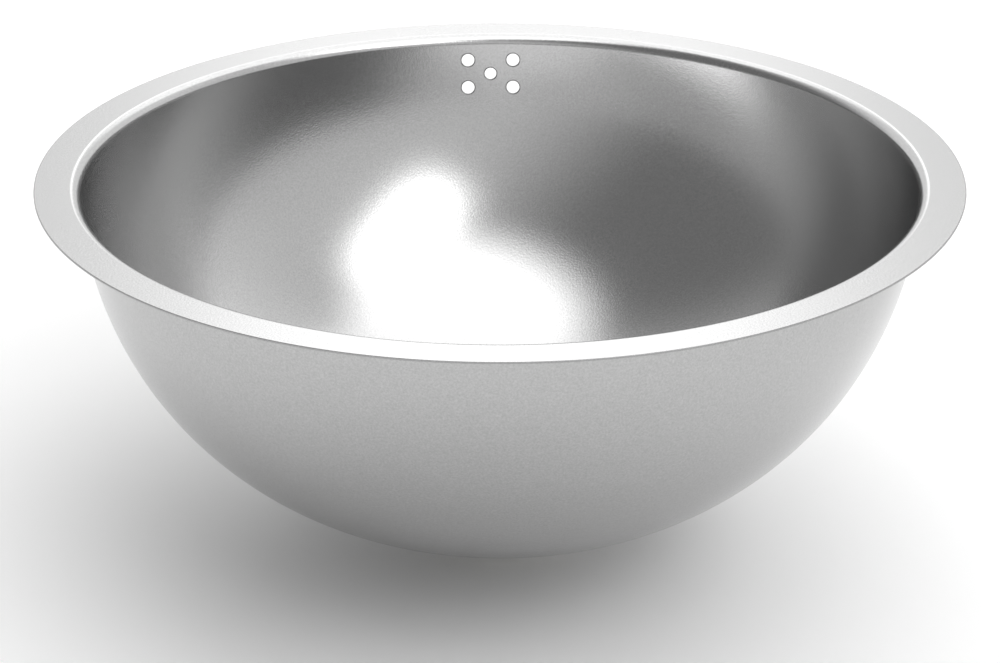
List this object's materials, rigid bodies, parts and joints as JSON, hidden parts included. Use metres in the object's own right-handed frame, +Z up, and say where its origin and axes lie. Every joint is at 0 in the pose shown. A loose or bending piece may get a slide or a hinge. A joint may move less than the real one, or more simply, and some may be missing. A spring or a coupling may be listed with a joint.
{
  "type": "round inset sink",
  "caption": "Round inset sink: deep-drawn bowl with a flat rim, overflow holes in the back wall and a lift-out basket strainer in a short threaded waste.",
  "frame": {"origin": "on the bowl's axis, in the plane of the worktop that the rim's seal rests on", "axes": "+Z up along the bowl's axis; +Y to the back, where the overflow holes are; +X to the right"},
  "size_m": [0.38, 0.3798, 0.1666],
  "materials": {
    "bowl_steel": "satin, fine brushed stainless sheet",
    "rim_foam": "closed-cell foam strip",
    "strainer_steel": "bright pressed stainless",
    "seal_rubber": "matt black moulded rubber",
    "outlet_plastic": "white moulded polypropylene",
    "nut_brass": "turned brass",
    "screw_steel": "turned stainless, bright",
    "bush_plastic": "natural nylon",
    "knob_steel": "turned and polished stainless"
  },
  "bodies": {
    "sink": {"sink_bowl": "bowl_steel", "rim_seal": "rim_foam", "strainer_cup": "strainer_steel", "upper_seal": "seal_rubber", "lower_seal": "seal_rubber", "outlet_body": "outlet_plastic", "outlet_nut": "nut_brass", "clamp_screw": "screw_steel"},
    "bush": {"grip_bush": "bush_plastic"},
    "basket": {"basket_cup": "strainer_steel", "basket_seal": "seal_rubber", "basket_post": "screw_steel", "post_washer": "screw_steel", "basket_knob": "knob_steel"}
  },
  "joints": [
    {"name": "basket_lift", "type": "slide", "parent": "sink", "child": "bush", "axis": [0, 0, 1], "range_m": [0, 0.045]},
    {"name": "basket_turn", "type": "hinge", "parent": "bush", "child": "basket", "pos_m": [0, 0, -0.15], "axis": [0, 0, 1], "continuous": true}
  ]
}
